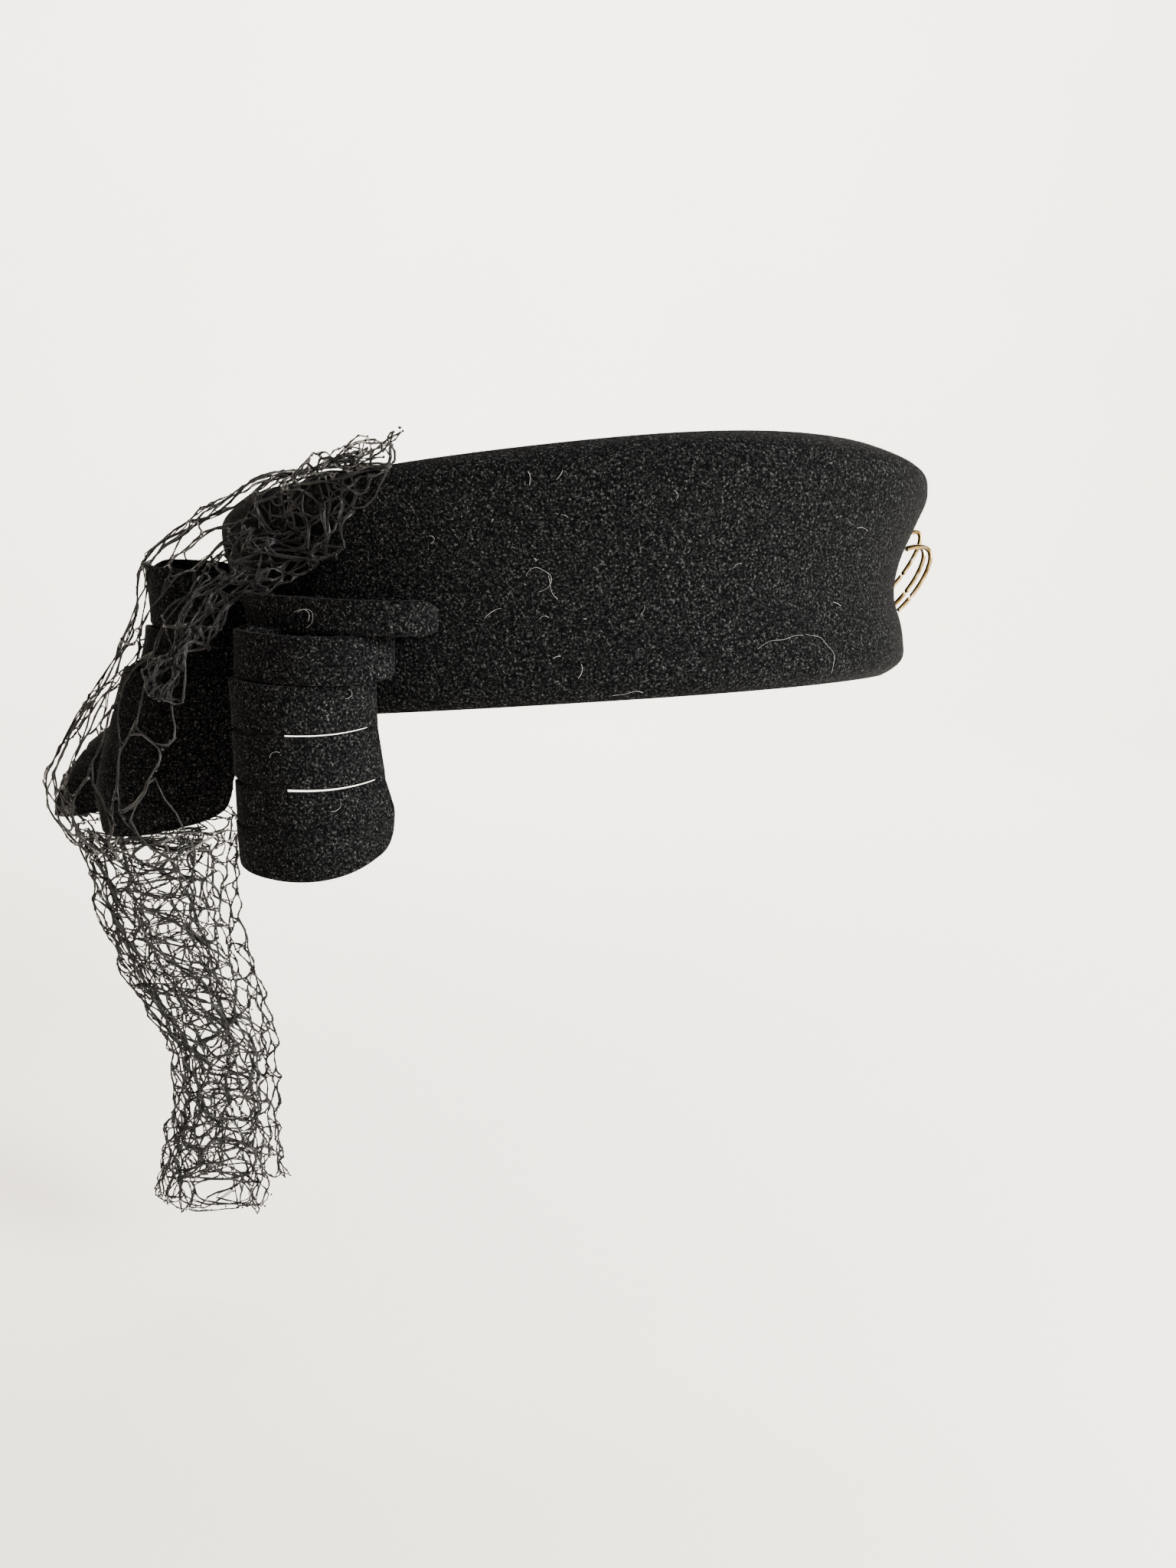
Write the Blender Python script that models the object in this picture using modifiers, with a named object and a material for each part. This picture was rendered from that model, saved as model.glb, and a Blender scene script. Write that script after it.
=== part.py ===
"""A black felt tilt hat with three slit felt curls, a coarse net veil and gold-tone wire loops.

Metres, +Z up, as the hat is worn. The origin is the centre of the head opening, +X is the front of
the hat, and the near side, -Y, sits higher than the far side. Angles round the hat are degrees
counted from the front, anticlockwise from above, so 180 is the back and 270 the near side.
"""

import math

import bmesh
import bpy
from mathutils import Matrix, Vector

COLLECTION = "felt_tilt_hat"

# Crown
CROWN_LENGTH = 0.244
CROWN_WIDTH = 0.187
CROWN_HEIGHT = 0.075
CROWN_DOME = 0.003
FRONT_RISE = 0.0055  # how much taller the wall is at the front end, and lower at the back end
CROWN_FORWARD = 0.003  # how far the shoulder's centre is in front of the opening's
CROWN_SQUARENESS = 2.15  # 2 is an ellipse
FRONT_DENT = 0.0125
SIDE_DENT_SHARE = 0.45
FELT = 0.002

# How the hat sits on the head
WORN_ROLL = math.radians(-8.5)
WORN_PITCH = math.radians(-3.35)

# Curls
CURL_TOP = 0.60  # share of CROWN_HEIGHT
CURL_LENGTH = 0.085
CURL_DEPTH = 0.031
CURL_CLOSURE = math.radians(24)  # how far each loop turns in towards its two ends
CURL_SQUARENESS = 2.3
SAG_SQUARENESS = 4.6  # the higher, the more of a band's front hangs at its full sag
CURL_SLIT = 0.001
CURL_SEAT = 0.0009  # from the crown's wall to the middle of the felt at a curl's ends

# Veil
VEIL_STRAND = 0.0013
VEIL_COLUMNS = 7
VEIL_ROWS = 17
VEIL_LAP = 0.060  # how far its front hem reaches in over the crown's top
VEIL_SEAT = 0.0011  # from the crown's wall to the middle of the nearest strands
TAIL_BEHIND = 0.040  # from the crown's back end to the tail's middle
TAIL_SIDE = 0.024
TAIL_DROP = 1.35  # from the curls' top to the tail's top, a share of CURL_LENGTH
TAIL_WIDTH = 0.058
TAIL_DEPTH = 0.018
TAIL_LENGTH = 0.148
TAIL_GAP = math.radians(35)  # half of the gap in its section, which is a U
TAIL_SQUARENESS = 3.0

# Wire loops
WIRE = 0.0015
WIRE_REACH = 0.0088
WIRE_HEIGHT = 0.022
WIRE_SEAT = 0.0009  # from the crown's wall to a wire's end

CROWN_COLUMNS = 60
LOOP_SEGMENTS = 18
WIRE_POINTS = 15
WIRE_BEVEL_RESOLUTION = 2

# Pieces beside the crown take their place from its wall between these shares of its height
WALL_SEATS = (0.15, 0.86)
SEAT_ROUNDS = 3
OUTWARD_STEP = math.radians(1)

# The wall's profile from the lower edge up: share of the height, share of the dent taken in
CROWN_WALL = (
    (0.00, 1.25),
    (0.04, 0.93),
    (0.15, 0.75),
    (0.25, 0.88),
    (0.35, 1.00),
    (0.52, 0.68),
    (0.70, 0.28),
    (0.86, 0.00),
    (0.95, 0.22),
    (1.00, 0.90),
)
# The top's rings: share of the radius, share of the dome
CROWN_TOP = ((0.80, 0.35), (0.50, 0.80), (0.20, 1.00))

# Curls: name, angles of the far and near ends, how far the top is below CURL_TOP and the length
# (shares of CURL_LENGTH), share of the depth, lean (share of CURL_LENGTH), table of bands
CURLS = (
    ("near_curl", 218, 241, 0.035, 0.953, 0.97, 0.00, "NEAR"),
    ("middle_curl", 181, 206, 0.000, 0.988, 1.10, 0.19, "BACK"),
    ("far_curl", 154, 178, 0.082, 1.090, 1.12, 0.92, "BACK"),
)
# Bands from the top: lower edge and both edges' sag at the front (shares of the curl's length),
# degrees that the near end reaches on, share of the curl's depth
BANDS = {
    "NEAR": (
        (0.115, -0.020, -0.010, 9.5, 0.68),
        (0.275, -0.015, 0.000, 2.5, 0.90),
        (0.455, 0.000, 0.000, -1.0, 0.94),
        (0.650, 0.000, 0.000, 0.0, 0.97),
        (0.770, 0.000, 0.050, 1.5, 0.99),
        (0.830, 0.050, 0.165, 2.5, 0.98),
    ),
    "BACK": (
        (0.190, -0.045, 0.000, 0.0, 0.84),
        (0.350, 0.000, 0.000, 0.0, 1.00),
        (0.520, 0.000, 0.000, 0.0, 1.18),
        (0.700, 0.000, 0.010, 0.0, 1.24),
        (0.790, 0.010, 0.055, 0.0, 1.26),
        (0.830, 0.055, 0.170, 0.0, 1.20),
    ),
}

# The veil over the crown, from its front hem back: angles of the near and far edges, then near,
# middle and far stand-off from the wall (share of VEIL_LAP) and height (share of CROWN_HEIGHT)
VEIL_OVER_CROWN = (
    (250, 112, -0.13, -1.00, -0.16, 1.185, 1.030, 0.860),
    (244, 118, 0.00, -0.50, -0.03, 1.160, 1.010, 0.850),
    (236, 124, 0.00, -0.02, 0.07, 0.940, 0.955, 0.740),
)
# The veil over the curls, likewise, with the stand-off as a share of CURL_DEPTH, the drop below
# CURL_TOP as a share of CURL_LENGTH, and how far the far edge leans out (share of CURL_LENGTH)
VEIL_OVER_CURLS = (
    (223, 132, 0.11, 0.48, 0.45, -0.141, -0.200, 0.035, 0.00),
    (213, 140, 0.64, 1.14, 1.14, -0.009, -0.009, 0.159, 0.00),
    (210, 143, 0.95, 1.58, 1.50, 0.291, 0.291, 0.388, 0.05),
    (209, 145, 1.22, 1.74, 1.44, 0.556, 0.644, 0.644, 0.35),
    (208, 146, 1.25, 1.96, 1.54, 0.794, 0.953, 0.935, 0.65),
    (205, 148, 0.85, 1.80, 1.25, 0.990, 1.275, 1.240, 0.65),
)
# The veil's tail: share of the length hung, middle's place along X, half width (both shares of
# TAIL_WIDTH) and share of the depth. The first row is where it gathers under the curls
TAIL_ROWS = (
    (-0.06, 0.06, 0.62, 2.60),
    (0.05, 0.00, 0.48, 1.10),
    (0.20, 0.04, 0.46, 0.95),
    (0.36, 0.10, 0.44, 0.90),
    (0.50, 0.26, 0.33, 0.85),
    (0.66, 0.27, 0.34, 0.85),
    (0.82, 0.22, 0.39, 0.95),
    (1.00, 0.20, 0.48, 1.20),
)

# Wire loops: name, angle round the hat, height of the lower foot (share of CROWN_HEIGHT), share
# of the reach, share of the height
WIRE_LOOPS = (
    ("wire_loop_front", 355.0, 0.30, 1.00, 1.00),
    ("wire_loop_middle", 357.6, 0.33, 0.86, 0.92),
    ("wire_loop_back", 2.5, 0.40, 0.80, 0.95),
)
# The cubic that a wire loop follows: share of the reach, share of the height
WIRE_CURVE = ((0.00, 0.00), (0.95, 0.40), (1.75, 1.20), (0.00, 0.95))

# Colour, roughness and metallic value
FELT_LOOK = ((0.012, 0.013, 0.014), 0.95, 0.0)
NET_LOOK = ((0.015, 0.015, 0.015), 0.6, 0.0)
WIRE_LOOK = ((0.78, 0.55, 0.25), 0.22, 1.0)


def clear_scene():
    for obj in list(bpy.data.objects):
        bpy.data.objects.remove(obj, do_unlink=True)


def make_collection(name):
    collection = bpy.data.collections.new(name)
    bpy.context.scene.collection.children.link(collection)
    return collection


def give_material(obj, look):
    colour, roughness, metallic = look
    material = bpy.data.materials.new(obj.name + "_material")
    material.use_nodes = True
    shader = material.node_tree.nodes["Principled BSDF"]
    shader.inputs["Base Color"].default_value = (*colour, 1.0)
    shader.inputs["Roughness"].default_value = roughness
    shader.inputs["Metallic"].default_value = metallic
    obj.data.materials.append(material)


def mix(a, b, share):
    return a + (b - a) * share


def through_three(near, middle, far, share):
    """The parabola that takes these values at 0, a half and 1."""
    return (
        near * (1 - share) * (1 - 2 * share)
        + middle * 4 * share * (1 - share)
        + far * share * (2 * share - 1)
    )


def bent(value, squareness):
    """A sine or cosine drawn out towards a square's."""
    return math.copysign(abs(value) ** (2 / squareness), value)


def table_value(table, share):
    """The table's second column at this share of its first."""
    for (low, a), (high, b) in zip(table, table[1:]):
        if share <= high:
            return mix(a, b, max(0.0, (share - low) / (high - low)))
    return table[-1][1]


def worn():
    return Matrix.Rotation(WORN_PITCH, 4, "Y") @ Matrix.Rotation(WORN_ROLL, 4, "X")


def oval(angle, inset=0.0):
    """The crown's outline in plan at this angle, taken in all round."""
    return Vector(
        (
            CROWN_FORWARD + (CROWN_LENGTH / 2 - inset) * bent(math.cos(angle), CROWN_SQUARENESS),
            (CROWN_WIDTH / 2 - inset) * bent(math.sin(angle), CROWN_SQUARENESS),
            0.0,
        )
    )


def outward(angle):
    """The outline's outward direction in plan, read from two points beside this angle."""
    along = oval(angle + OUTWARD_STEP) - oval(angle - OUTWARD_STEP)
    return Vector((along.y, -along.x, 0)).normalized()


def dent(angle):
    front = ((1 + math.cos(angle)) / 2) ** 2
    return FRONT_DENT * mix(SIDE_DENT_SHARE, 1.0, front)


def rise(point):
    return FRONT_RISE * (point.x - CROWN_FORWARD) / (CROWN_LENGTH / 2)


def wall_point(angle, height_share):
    """A point of the crown's outer wall, in the crown's own frame."""
    point = oval(angle, dent(angle) * table_value(CROWN_WALL, height_share))
    point.z = height_share * (CROWN_HEIGHT + rise(point))
    return point


def beside_wall(angle, height, seat):
    """A point at this height as worn, seat away from the wall. Below the hat it hangs straight."""
    lowest, highest = WALL_SEATS
    share = lowest
    for _ in range(SEAT_ROUNDS):
        point = worn() @ wall_point(angle, share)
        share = min(max(share + (height - point.z) / CROWN_HEIGHT, lowest), highest)
    point = worn() @ wall_point(angle, share) + outward(angle) * seat
    point.z = height
    return point


def mesh_object(collection, name, bm, look):
    bmesh.ops.recalc_face_normals(bm, faces=bm.faces)
    mesh = bpy.data.meshes.new(name)
    bm.to_mesh(mesh)
    bm.free()
    mesh.shade_smooth()
    obj = bpy.data.objects.new(name, mesh)
    collection.objects.link(obj)
    give_material(obj, look)
    return obj


def thicken(obj, thickness, offset, even=True):
    wall = obj.modifiers.new("Wall", "SOLIDIFY")
    wall.thickness = thickness
    wall.offset = offset
    wall.use_even_offset = even


def join_rings(bm, lower, upper):
    count = len(lower)
    for i in range(count):
        j = (i + 1) % count
        bm.faces.new((lower[i], lower[j], upper[j], upper[i]))


def make_crown(collection, stand):
    """One felt shell: oval rings up the wall and over the top, thickened inwards."""
    angles = [math.tau * i / CROWN_COLUMNS for i in range(CROWN_COLUMNS)]
    rings = [[wall_point(angle, share) for angle in angles] for share, _ in CROWN_WALL]
    edge = rings[-1]
    centre = Vector((CROWN_FORWARD, 0, 0))
    for radius, dome in CROWN_TOP:
        ring = [centre + (Vector((point.x, point.y, 0)) - centre) * radius for point in edge]
        for point in ring:
            point.z = CROWN_HEIGHT + rise(point) + CROWN_DOME * dome
        rings.append(ring)
    bm = bmesh.new()
    made = [[bm.verts.new(point) for point in ring] for ring in rings]
    for lower, upper in zip(made, made[1:]):
        join_rings(bm, lower, upper)
    tip = bm.verts.new(centre + Vector((0, 0, CROWN_HEIGHT + CROWN_DOME)))
    last = made[-1]
    for i, vert in enumerate(last):
        bm.faces.new((vert, last[(i + 1) % len(last)], tip))
    crown = mesh_object(collection, "crown", bm, FELT_LOOK)
    thicken(crown, FELT, -1)
    crown.parent = stand
    return crown


def below_curl_top(drop):
    """The height that lies this share of CURL_LENGTH below CURL_TOP."""
    return CROWN_HEIGHT * CURL_TOP - CURL_LENGTH * drop


def loop_row(curl, down, sag, reach, depth_share):
    """One edge of a band: a loop from the far end on the wall, round the front, to the near end."""
    _, far_angle, near_angle, drop, length, curl_share, lean, _ = curl
    height = below_curl_top(drop + length * down)
    far_end = beside_wall(math.radians(far_angle), height, CURL_SEAT)
    near_end = beside_wall(math.radians(near_angle + reach), height, CURL_SEAT)
    centre = (far_end + near_end) / 2
    along = (near_end - far_end) / 2
    out = Vector((along.y, -along.x, 0)).normalized()
    turned_in = bent(math.sin(CURL_CLOSURE), CURL_SQUARENESS)
    wide = 1 / bent(math.cos(CURL_CLOSURE), CURL_SQUARENESS)
    deep = CURL_DEPTH * curl_share * depth_share / (1 + turned_in)
    swing = CURL_LENGTH * lean * down**2
    points = []
    for i in range(LOOP_SEGMENTS + 1):
        turn = mix(math.pi + CURL_CLOSURE, -CURL_CLOSURE, i / LOOP_SEGMENTS)
        across = wide * bent(math.cos(turn), CURL_SQUARENESS)
        stand_off = deep * (bent(math.sin(turn), CURL_SQUARENESS) + turned_in)
        point = centre + along * across + out * (stand_off + swing)
        hangs = bent(max(0.0, math.sin(turn)), SAG_SQUARENESS)
        point.z -= CURL_LENGTH * length * sag * hangs
        points.append(point)
    return points


def make_curl(collection, curl):
    """A felt tongue slit into bands. Between bands only the two end margins are left."""
    name, length, bands = curl[0], curl[4], BANDS[curl[-1]]
    slit = CURL_SLIT / (CURL_LENGTH * length)
    bm = bmesh.new()
    start = 0.0
    above = None
    for lower_edge, upper_sag, lower_sag, reach, depth in bands:
        rows = [
            [bm.verts.new(point) for point in loop_row(curl, down, sag, reach, depth)]
            for down, sag in ((start, upper_sag), (lower_edge, lower_sag))
        ]
        for i in range(LOOP_SEGMENTS):
            bm.faces.new((rows[0][i], rows[0][i + 1], rows[1][i + 1], rows[1][i]))
            if above and i in (0, LOOP_SEGMENTS - 1):
                bm.faces.new((above[i], above[i + 1], rows[0][i + 1], rows[0][i]))
        above = rows[1]
        start = lower_edge + slit
    obj = mesh_object(collection, name, bm, FELT_LOOK)
    thicken(obj, FELT, 0)
    return obj


def veil_over_crown(row, share):
    """A point of one cross row on the crown, from the near edge at 0 to the far edge at 1."""
    angle = math.radians(mix(row[0], row[1], share))
    stand_off = VEIL_SEAT + VEIL_LAP * through_three(*row[2:5], share)
    return beside_wall(angle, CROWN_HEIGHT * through_three(*row[5:8], share), stand_off)


def veil_over_curls(row, share):
    angle = math.radians(mix(row[0], row[1], share))
    lean = CURL_LENGTH * row[8] * share
    stand_off = VEIL_SEAT + CURL_DEPTH * through_three(*row[2:5], share) + lean
    return beside_wall(angle, below_curl_top(through_three(*row[5:8], share)), stand_off)


def veil_tail(row, share):
    """A point of one cross row of the tail, which is folded round like a U open to the front."""
    hung, middle, half_width, depth = row
    turn = mix(math.tau - TAIL_GAP, TAIL_GAP, share)
    back = CROWN_FORWARD - CROWN_LENGTH / 2 - TAIL_BEHIND
    along = middle + half_width * bent(math.cos(turn), TAIL_SQUARENESS)
    across = depth / 2 * bent(math.sin(turn), TAIL_SQUARENESS)
    return Vector(
        (
            back + TAIL_WIDTH * along,
            TAIL_SIDE + TAIL_DEPTH * across,
            below_curl_top(TAIL_DROP) - TAIL_LENGTH * hung,
        )
    )


def veil_point(down, across):
    """The veil's surface: down runs from the front hem at 0 to the tail's end at 1."""
    rows = [(veil_over_crown, row) for row in VEIL_OVER_CROWN]
    rows += [(veil_over_curls, row) for row in VEIL_OVER_CURLS]
    rows += [(veil_tail, row) for row in TAIL_ROWS]
    place = down * (len(rows) - 1)
    first = min(int(place), len(rows) - 2)
    picked = [min(max(first + step, 0), len(rows) - 1) for step in (-1, 0, 1, 2)]
    a, b, c, d = (make(row, across) for make, row in (rows[i] for i in picked))
    t = place - first
    return (
        b
        + (c - a) * (t / 2)
        + (a * 2 - b * 5 + c * 4 - d) * (t * t / 2)
        + (b * 3 - a - c * 3 + d) * (t * t * t / 2)
    )


def make_veil(collection):
    """A sheet of six-sided meshes, each cut through, with strands left between them."""
    corners = ((0, -2), (0.5, -1), (0.5, 1), (0, 2), (-0.5, 1), (-0.5, -1))
    columns = VEIL_COLUMNS + 0.5
    rows = 3 * VEIL_ROWS + 1
    bm = bmesh.new()
    made = {}
    for j in range(VEIL_ROWS):
        for i in range(VEIL_COLUMNS):
            middle = i + 0.5 + 0.5 * (j % 2)
            ring = []
            for right, third in corners:
                key = (round(2 * (middle + right)), 3 * j + 2 + third)
                if key not in made:
                    made[key] = bm.verts.new(veil_point(key[1] / rows, key[0] / 2 / columns))
                ring.append(made[key])
            bm.faces.new(ring)
    holes = list(bm.faces)
    bmesh.ops.recalc_face_normals(bm, faces=bm.faces)
    bmesh.ops.inset_individual(bm, faces=holes, thickness=VEIL_STRAND / 2, use_even_offset=False)
    bmesh.ops.delete(bm, geom=holes, context="FACES")
    obj = mesh_object(collection, "net_veil", bm, NET_LOOK)
    thicken(obj, VEIL_STRAND, 0, even=False)
    return obj


def cubic_point(controls, t):
    weights = ((1 - t) ** 3, 3 * t * (1 - t) ** 2, 3 * t * t * (1 - t), t**3)
    return tuple(sum(w * c[axis] for w, c in zip(weights, controls)) for axis in (0, 1))


def make_wire_loop(collection, row):
    """A wire that leaves the dent, curves out and up, and comes back to the wall."""
    name, angle, foot, reach_share, height_share = row
    angle = math.radians(angle)
    low = (worn() @ wall_point(angle, foot)).z
    tall = WIRE_HEIGHT * height_share
    feet = [beside_wall(angle, low + tall * up, WIRE_SEAT) for _, up in (WIRE_CURVE[0], WIRE_CURVE[-1])]
    curve = bpy.data.curves.new(name, "CURVE")
    curve.dimensions = "3D"
    curve.bevel_depth = WIRE / 2
    curve.bevel_resolution = WIRE_BEVEL_RESOLUTION
    curve.use_fill_caps = True
    spline = curve.splines.new("POLY")
    spline.points.add(WIRE_POINTS - 1)
    for i, knot in enumerate(spline.points):
        along = i / (WIRE_POINTS - 1)
        out, up = cubic_point(WIRE_CURVE, along)
        place = feet[0].lerp(feet[1], along) + outward(angle) * WIRE_REACH * reach_share * out
        knot.co = (place.x, place.y, low + tall * up, 1)
    obj = bpy.data.objects.new(name, curve)
    collection.objects.link(obj)
    give_material(obj, WIRE_LOOK)
    return obj


def main():
    clear_scene()
    collection = make_collection(COLLECTION)
    stand = bpy.data.objects.new("worn_tilt", None)
    collection.objects.link(stand)
    stand.matrix_world = worn()
    make_crown(collection, stand)
    for curl in CURLS:
        make_curl(collection, curl)
    make_veil(collection)
    for row in WIRE_LOOPS:
        make_wire_loop(collection, row)


main()
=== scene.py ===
import math

import bpy
import numpy as np
from mathutils import Matrix, Vector
from mathutils.bvhtree import BVHTree


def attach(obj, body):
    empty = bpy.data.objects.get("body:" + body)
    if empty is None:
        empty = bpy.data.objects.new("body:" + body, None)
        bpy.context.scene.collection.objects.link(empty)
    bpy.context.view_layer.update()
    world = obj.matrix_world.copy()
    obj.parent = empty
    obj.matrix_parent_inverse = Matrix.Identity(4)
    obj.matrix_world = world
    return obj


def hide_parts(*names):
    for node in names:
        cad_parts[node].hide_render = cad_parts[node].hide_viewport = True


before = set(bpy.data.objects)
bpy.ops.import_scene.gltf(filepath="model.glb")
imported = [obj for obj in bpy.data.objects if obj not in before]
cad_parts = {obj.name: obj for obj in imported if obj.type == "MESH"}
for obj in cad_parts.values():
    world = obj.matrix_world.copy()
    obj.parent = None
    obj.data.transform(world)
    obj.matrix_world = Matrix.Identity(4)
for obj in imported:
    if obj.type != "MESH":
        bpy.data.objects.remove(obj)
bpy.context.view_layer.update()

# Camera
PICTURE = (1536, 2048)
CAMERA_PLACE = (0.004, -0.459, 0.084)
CAMERA_DOWN = math.radians(14.25)
LENS = 29.88
SENSOR = 36.0

# Floor, which curves up at its edge
FLOOR_HEIGHT = -0.259
FLOOR_RADIUS = 2.4
FLAT_RINGS = (0.3, 0.8)  # radius of each ring between its middle and the cove
COVE_RADIUS = 1.1
COVE_HEIGHT = 2.6
COVE_STEPS = 12
FLOOR_COLUMNS = 96

# Lights: name, place, what it points at, size, power (W), colour
LIGHTS = (
    ("window", (1.2, -0.85, 0.5), (0, 0, 0), 0.6, 165, (1.0, 0.98, 0.95)),
    ("backdrop", (0, 0.9, 1.3), (0, 2.4, 0.1), 1.6, 125, (1.0, 0.99, 0.97)),
)
SKY_COLOUR = (1.0, 0.985, 0.955, 1.0)
SKY_STRENGTH = 0.45

# Crown, as its solid but fitted more closely to the picture, most of all along its top edge
CROWN_LENGTH = 0.243
CROWN_WIDTH = 0.187
CROWN_HEIGHT = 0.0755
CROWN_DOME = 0.003
FRONT_RISE = 0.0055
FRONT_FALL = 0.0093  # how far the top edge falls away at the front end
FRONT_LIFT = 0.0020  # how far the lower edge lifts there
CROWN_FORWARD = 0.003
CROWN_SQUARENESS = 2.15
FRONT_DENT = 0.0125
SIDE_DENT_SHARE = 0.45
FELT = 0.002
WORN_ROLL = math.radians(-8.5)
WORN_PITCH = math.radians(-3.45)
WALL_SEATS = (0.15, 0.86)
SEAT_ROUNDS = 3
OUTWARD_STEP = math.radians(1)

# The wall's profile from the lower edge up: share of the height, share of the dent taken in
CROWN_WALL = (
    (0.00, 1.45),
    (0.04, 0.98),
    (0.15, 0.79),
    (0.25, 0.85),
    (0.35, 0.99),
    (0.52, 0.82),
    (0.70, 0.34),
    (0.86, 0.00),
    (0.95, 0.22),
    (1.00, 0.98),
)
# The top's rings: share of the radius, share of the dome
CROWN_TOP = ((1.00, 0.00), (0.80, 0.35), (0.50, 0.80), (0.20, 1.00), (0.00, 1.02))
CROWN_COLUMNS = 160
WALL_STEPS = (0, 0.012, 0.03, 0.06, *np.linspace(0.1, 0.86, 20), 0.9, 0.93, 0.96, 0.98, 0.992, 1)
TOP_STEPS = (0.97, 0.93, 0.86, 0.76, 0.64, 0.5, 0.34, 0.18, 0.06)

# Curls, as their solids but with bands and a lean fitted more closely to the picture
CURL_TOP = 0.60
CURL_LENGTH = 0.085
CURL_DEPTH = 0.031
CURL_CLOSURE = math.radians(24)
CURL_SQUARENESS = 2.3
SAG_SQUARENESS = 4.6
CURL_SEAT = 0.0009
MARGIN_SHARE = 1 / 18  # of a loop's length, left uncut at each end
LOOP_STEPS = 96
BAND_STEPS = (0, 0.06, 0.18, 0.38, 0.62, 0.82, 0.94, 1)
# Name, angles of its far and near end on the crown (degrees), how far below CURL_TOP it starts and
# how long it is (shares of CURL_LENGTH), how deep (share of CURL_DEPTH), how far out its lower end
# leans (share of CURL_LENGTH), bands
CURLS = (
    ("near_curl", 218, 241, 0.035, 0.953, 0.97, 0.00, "NEAR"),
    ("middle_curl", 181, 206, 0.000, 0.988, 1.10, 0.19, "BACK"),
    ("far_curl", 154, 178, 0.082, 1.090, 1.12, 0.95, "BACK"),
)
# Bands from the top: lower edge and both edges' sag at the front (shares of the curl's length),
# degrees that both edges' near ends reach on, both edges' share of the curl's depth
BANDS = {
    "NEAR": (
        (0.115, -0.020, -0.010, 9.5, 9.5, 0.68, 0.68),
        (0.275, -0.015, 0.000, 2.5, 2.5, 0.90, 0.90),
        (0.455, 0.000, 0.000, -1.0, -1.0, 0.94, 0.94),
        (0.650, 0.000, 0.000, -1.0, 0.0, 0.95, 0.97),
        (0.770, 0.000, 0.050, 0.0, 1.5, 0.97, 1.00),
        (0.830, 0.050, 0.165, 1.5, 1.3, 1.02, 1.00),
    ),
    "BACK": (
        (0.190, -0.045, 0.000, 0.0, 0.0, 0.84, 0.90),
        (0.350, 0.000, 0.000, 0.0, 0.0, 0.95, 1.00),
        (0.520, 0.000, 0.000, 0.6, 1.2, 1.14, 1.20),
        (0.700, 0.000, 0.010, 1.2, 2.0, 1.20, 1.25),
        (0.790, 0.010, 0.055, 2.0, 2.2, 1.25, 1.27),
        (0.845, 0.055, 0.150, 2.2, 2.2, 1.27, 1.19),
    ),
}
SEAM = 0.0002  # what a slit is open by before its gape is added
BAND_CORNER = 0.0013  # how far the bands' corners are rounded where their loops fold
TOP_CORNER = 0.0028  # the same for the highest band's upper corners
FOOT_CORNER = 0.0022  # the same for the lowest band's lower corners
# How far each slit gapes, from the top: most (m, closed where it is below 0), where along the loop,
# half length of the gape
SLITS = {
    "NEAR": (
        (0.0002, 0.50, 0.30),
        (0.0001, 0.50, 0.30),
        (0.0019, 0.26, 0.12),
        (0.0005, 0.41, 0.30),
        (-0.0008, 0.50, 0.40),
    ),
    "BACK": (
        (0.0004, 0.50, 0.30),
        (0.0002, 0.50, 0.30),
        (0.0003, 0.50, 0.30),
        (-0.0006, 0.50, 0.40),
        (-0.0006, 0.50, 0.40),
    ),
}

# Net
NET_SEAT = 0.0011
NET_LAP = 0.060
TAIL_BEHIND = 0.040
TAIL_SIDE = 0.024
TAIL_DROP = 1.35
TAIL_WIDTH = 0.058
TAIL_DEPTH = 0.018
TAIL_LENGTH = 0.148
TAIL_GAP = math.radians(35)
TAIL_SQUARENESS = 3.0
# Rows over the crown: angles of the near and the far edge (degrees), stand-off at the near edge,
# the middle and the far edge (shares of NET_LAP, in over the crown's top where negative), height
# at the same three (shares of the crown's)
NET_OVER_CROWN = (
    (252, 110, -0.02, -1.00, -0.16, 1.170, 1.060, 0.860),
    (248, 114, 0.02, -0.72, -0.10, 1.060, 1.045, 0.850),
    (243, 120, 0.02, -0.30, -0.03, 0.900, 1.010, 0.800),
    (239, 124, 0.02, -0.08, 0.05, 0.740, 0.940, 0.740),
)
# Rows over the curls: the same, with the stand-offs as shares of CURL_DEPTH, the heights as shares
# of CURL_LENGTH below CURL_TOP, and how far the far edge leans out
NET_OVER_CURLS = (
    (230, 132, 0.10, 0.36, 0.40, -0.060, -0.190, 0.035, 0.00),
    (220, 139, 0.46, 0.92, 1.00, 0.080, -0.030, 0.159, 0.00),
    (216, 143, 1.00, 1.30, 1.30, 0.320, 0.270, 0.388, 0.05),
    (217, 145, 1.16, 1.50, 1.25, 0.570, 0.600, 0.644, 0.33),
    (217, 146, 1.10, 1.62, 1.25, 0.840, 0.880, 0.900, 0.60),
    (212, 148, 0.80, 1.42, 1.00, 1.020, 1.110, 1.120, 0.60),
)
# Rows of the tail: how far down it (share of TAIL_LENGTH), its middle and half width there (shares
# of TAIL_WIDTH), its depth (share of TAIL_DEPTH)
TAIL_ROWS = (
    (-0.10, 0.02, 0.58, 1.30),
    (-0.01, 0.02, 0.50, 1.10),
    (0.17, 0.05, 0.44, 0.95),
    (0.34, 0.17, 0.40, 0.90),
    (0.50, 0.30, 0.33, 0.85),
    (0.66, 0.31, 0.32, 0.85),
    (0.82, 0.26, 0.37, 0.95),
    (0.97, 0.23, 0.44, 1.20),
)
GRID_STEPS = 80
TAIL_STARTS = (8.8, 11.0)  # the rows between which the net turns into the tail
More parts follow.
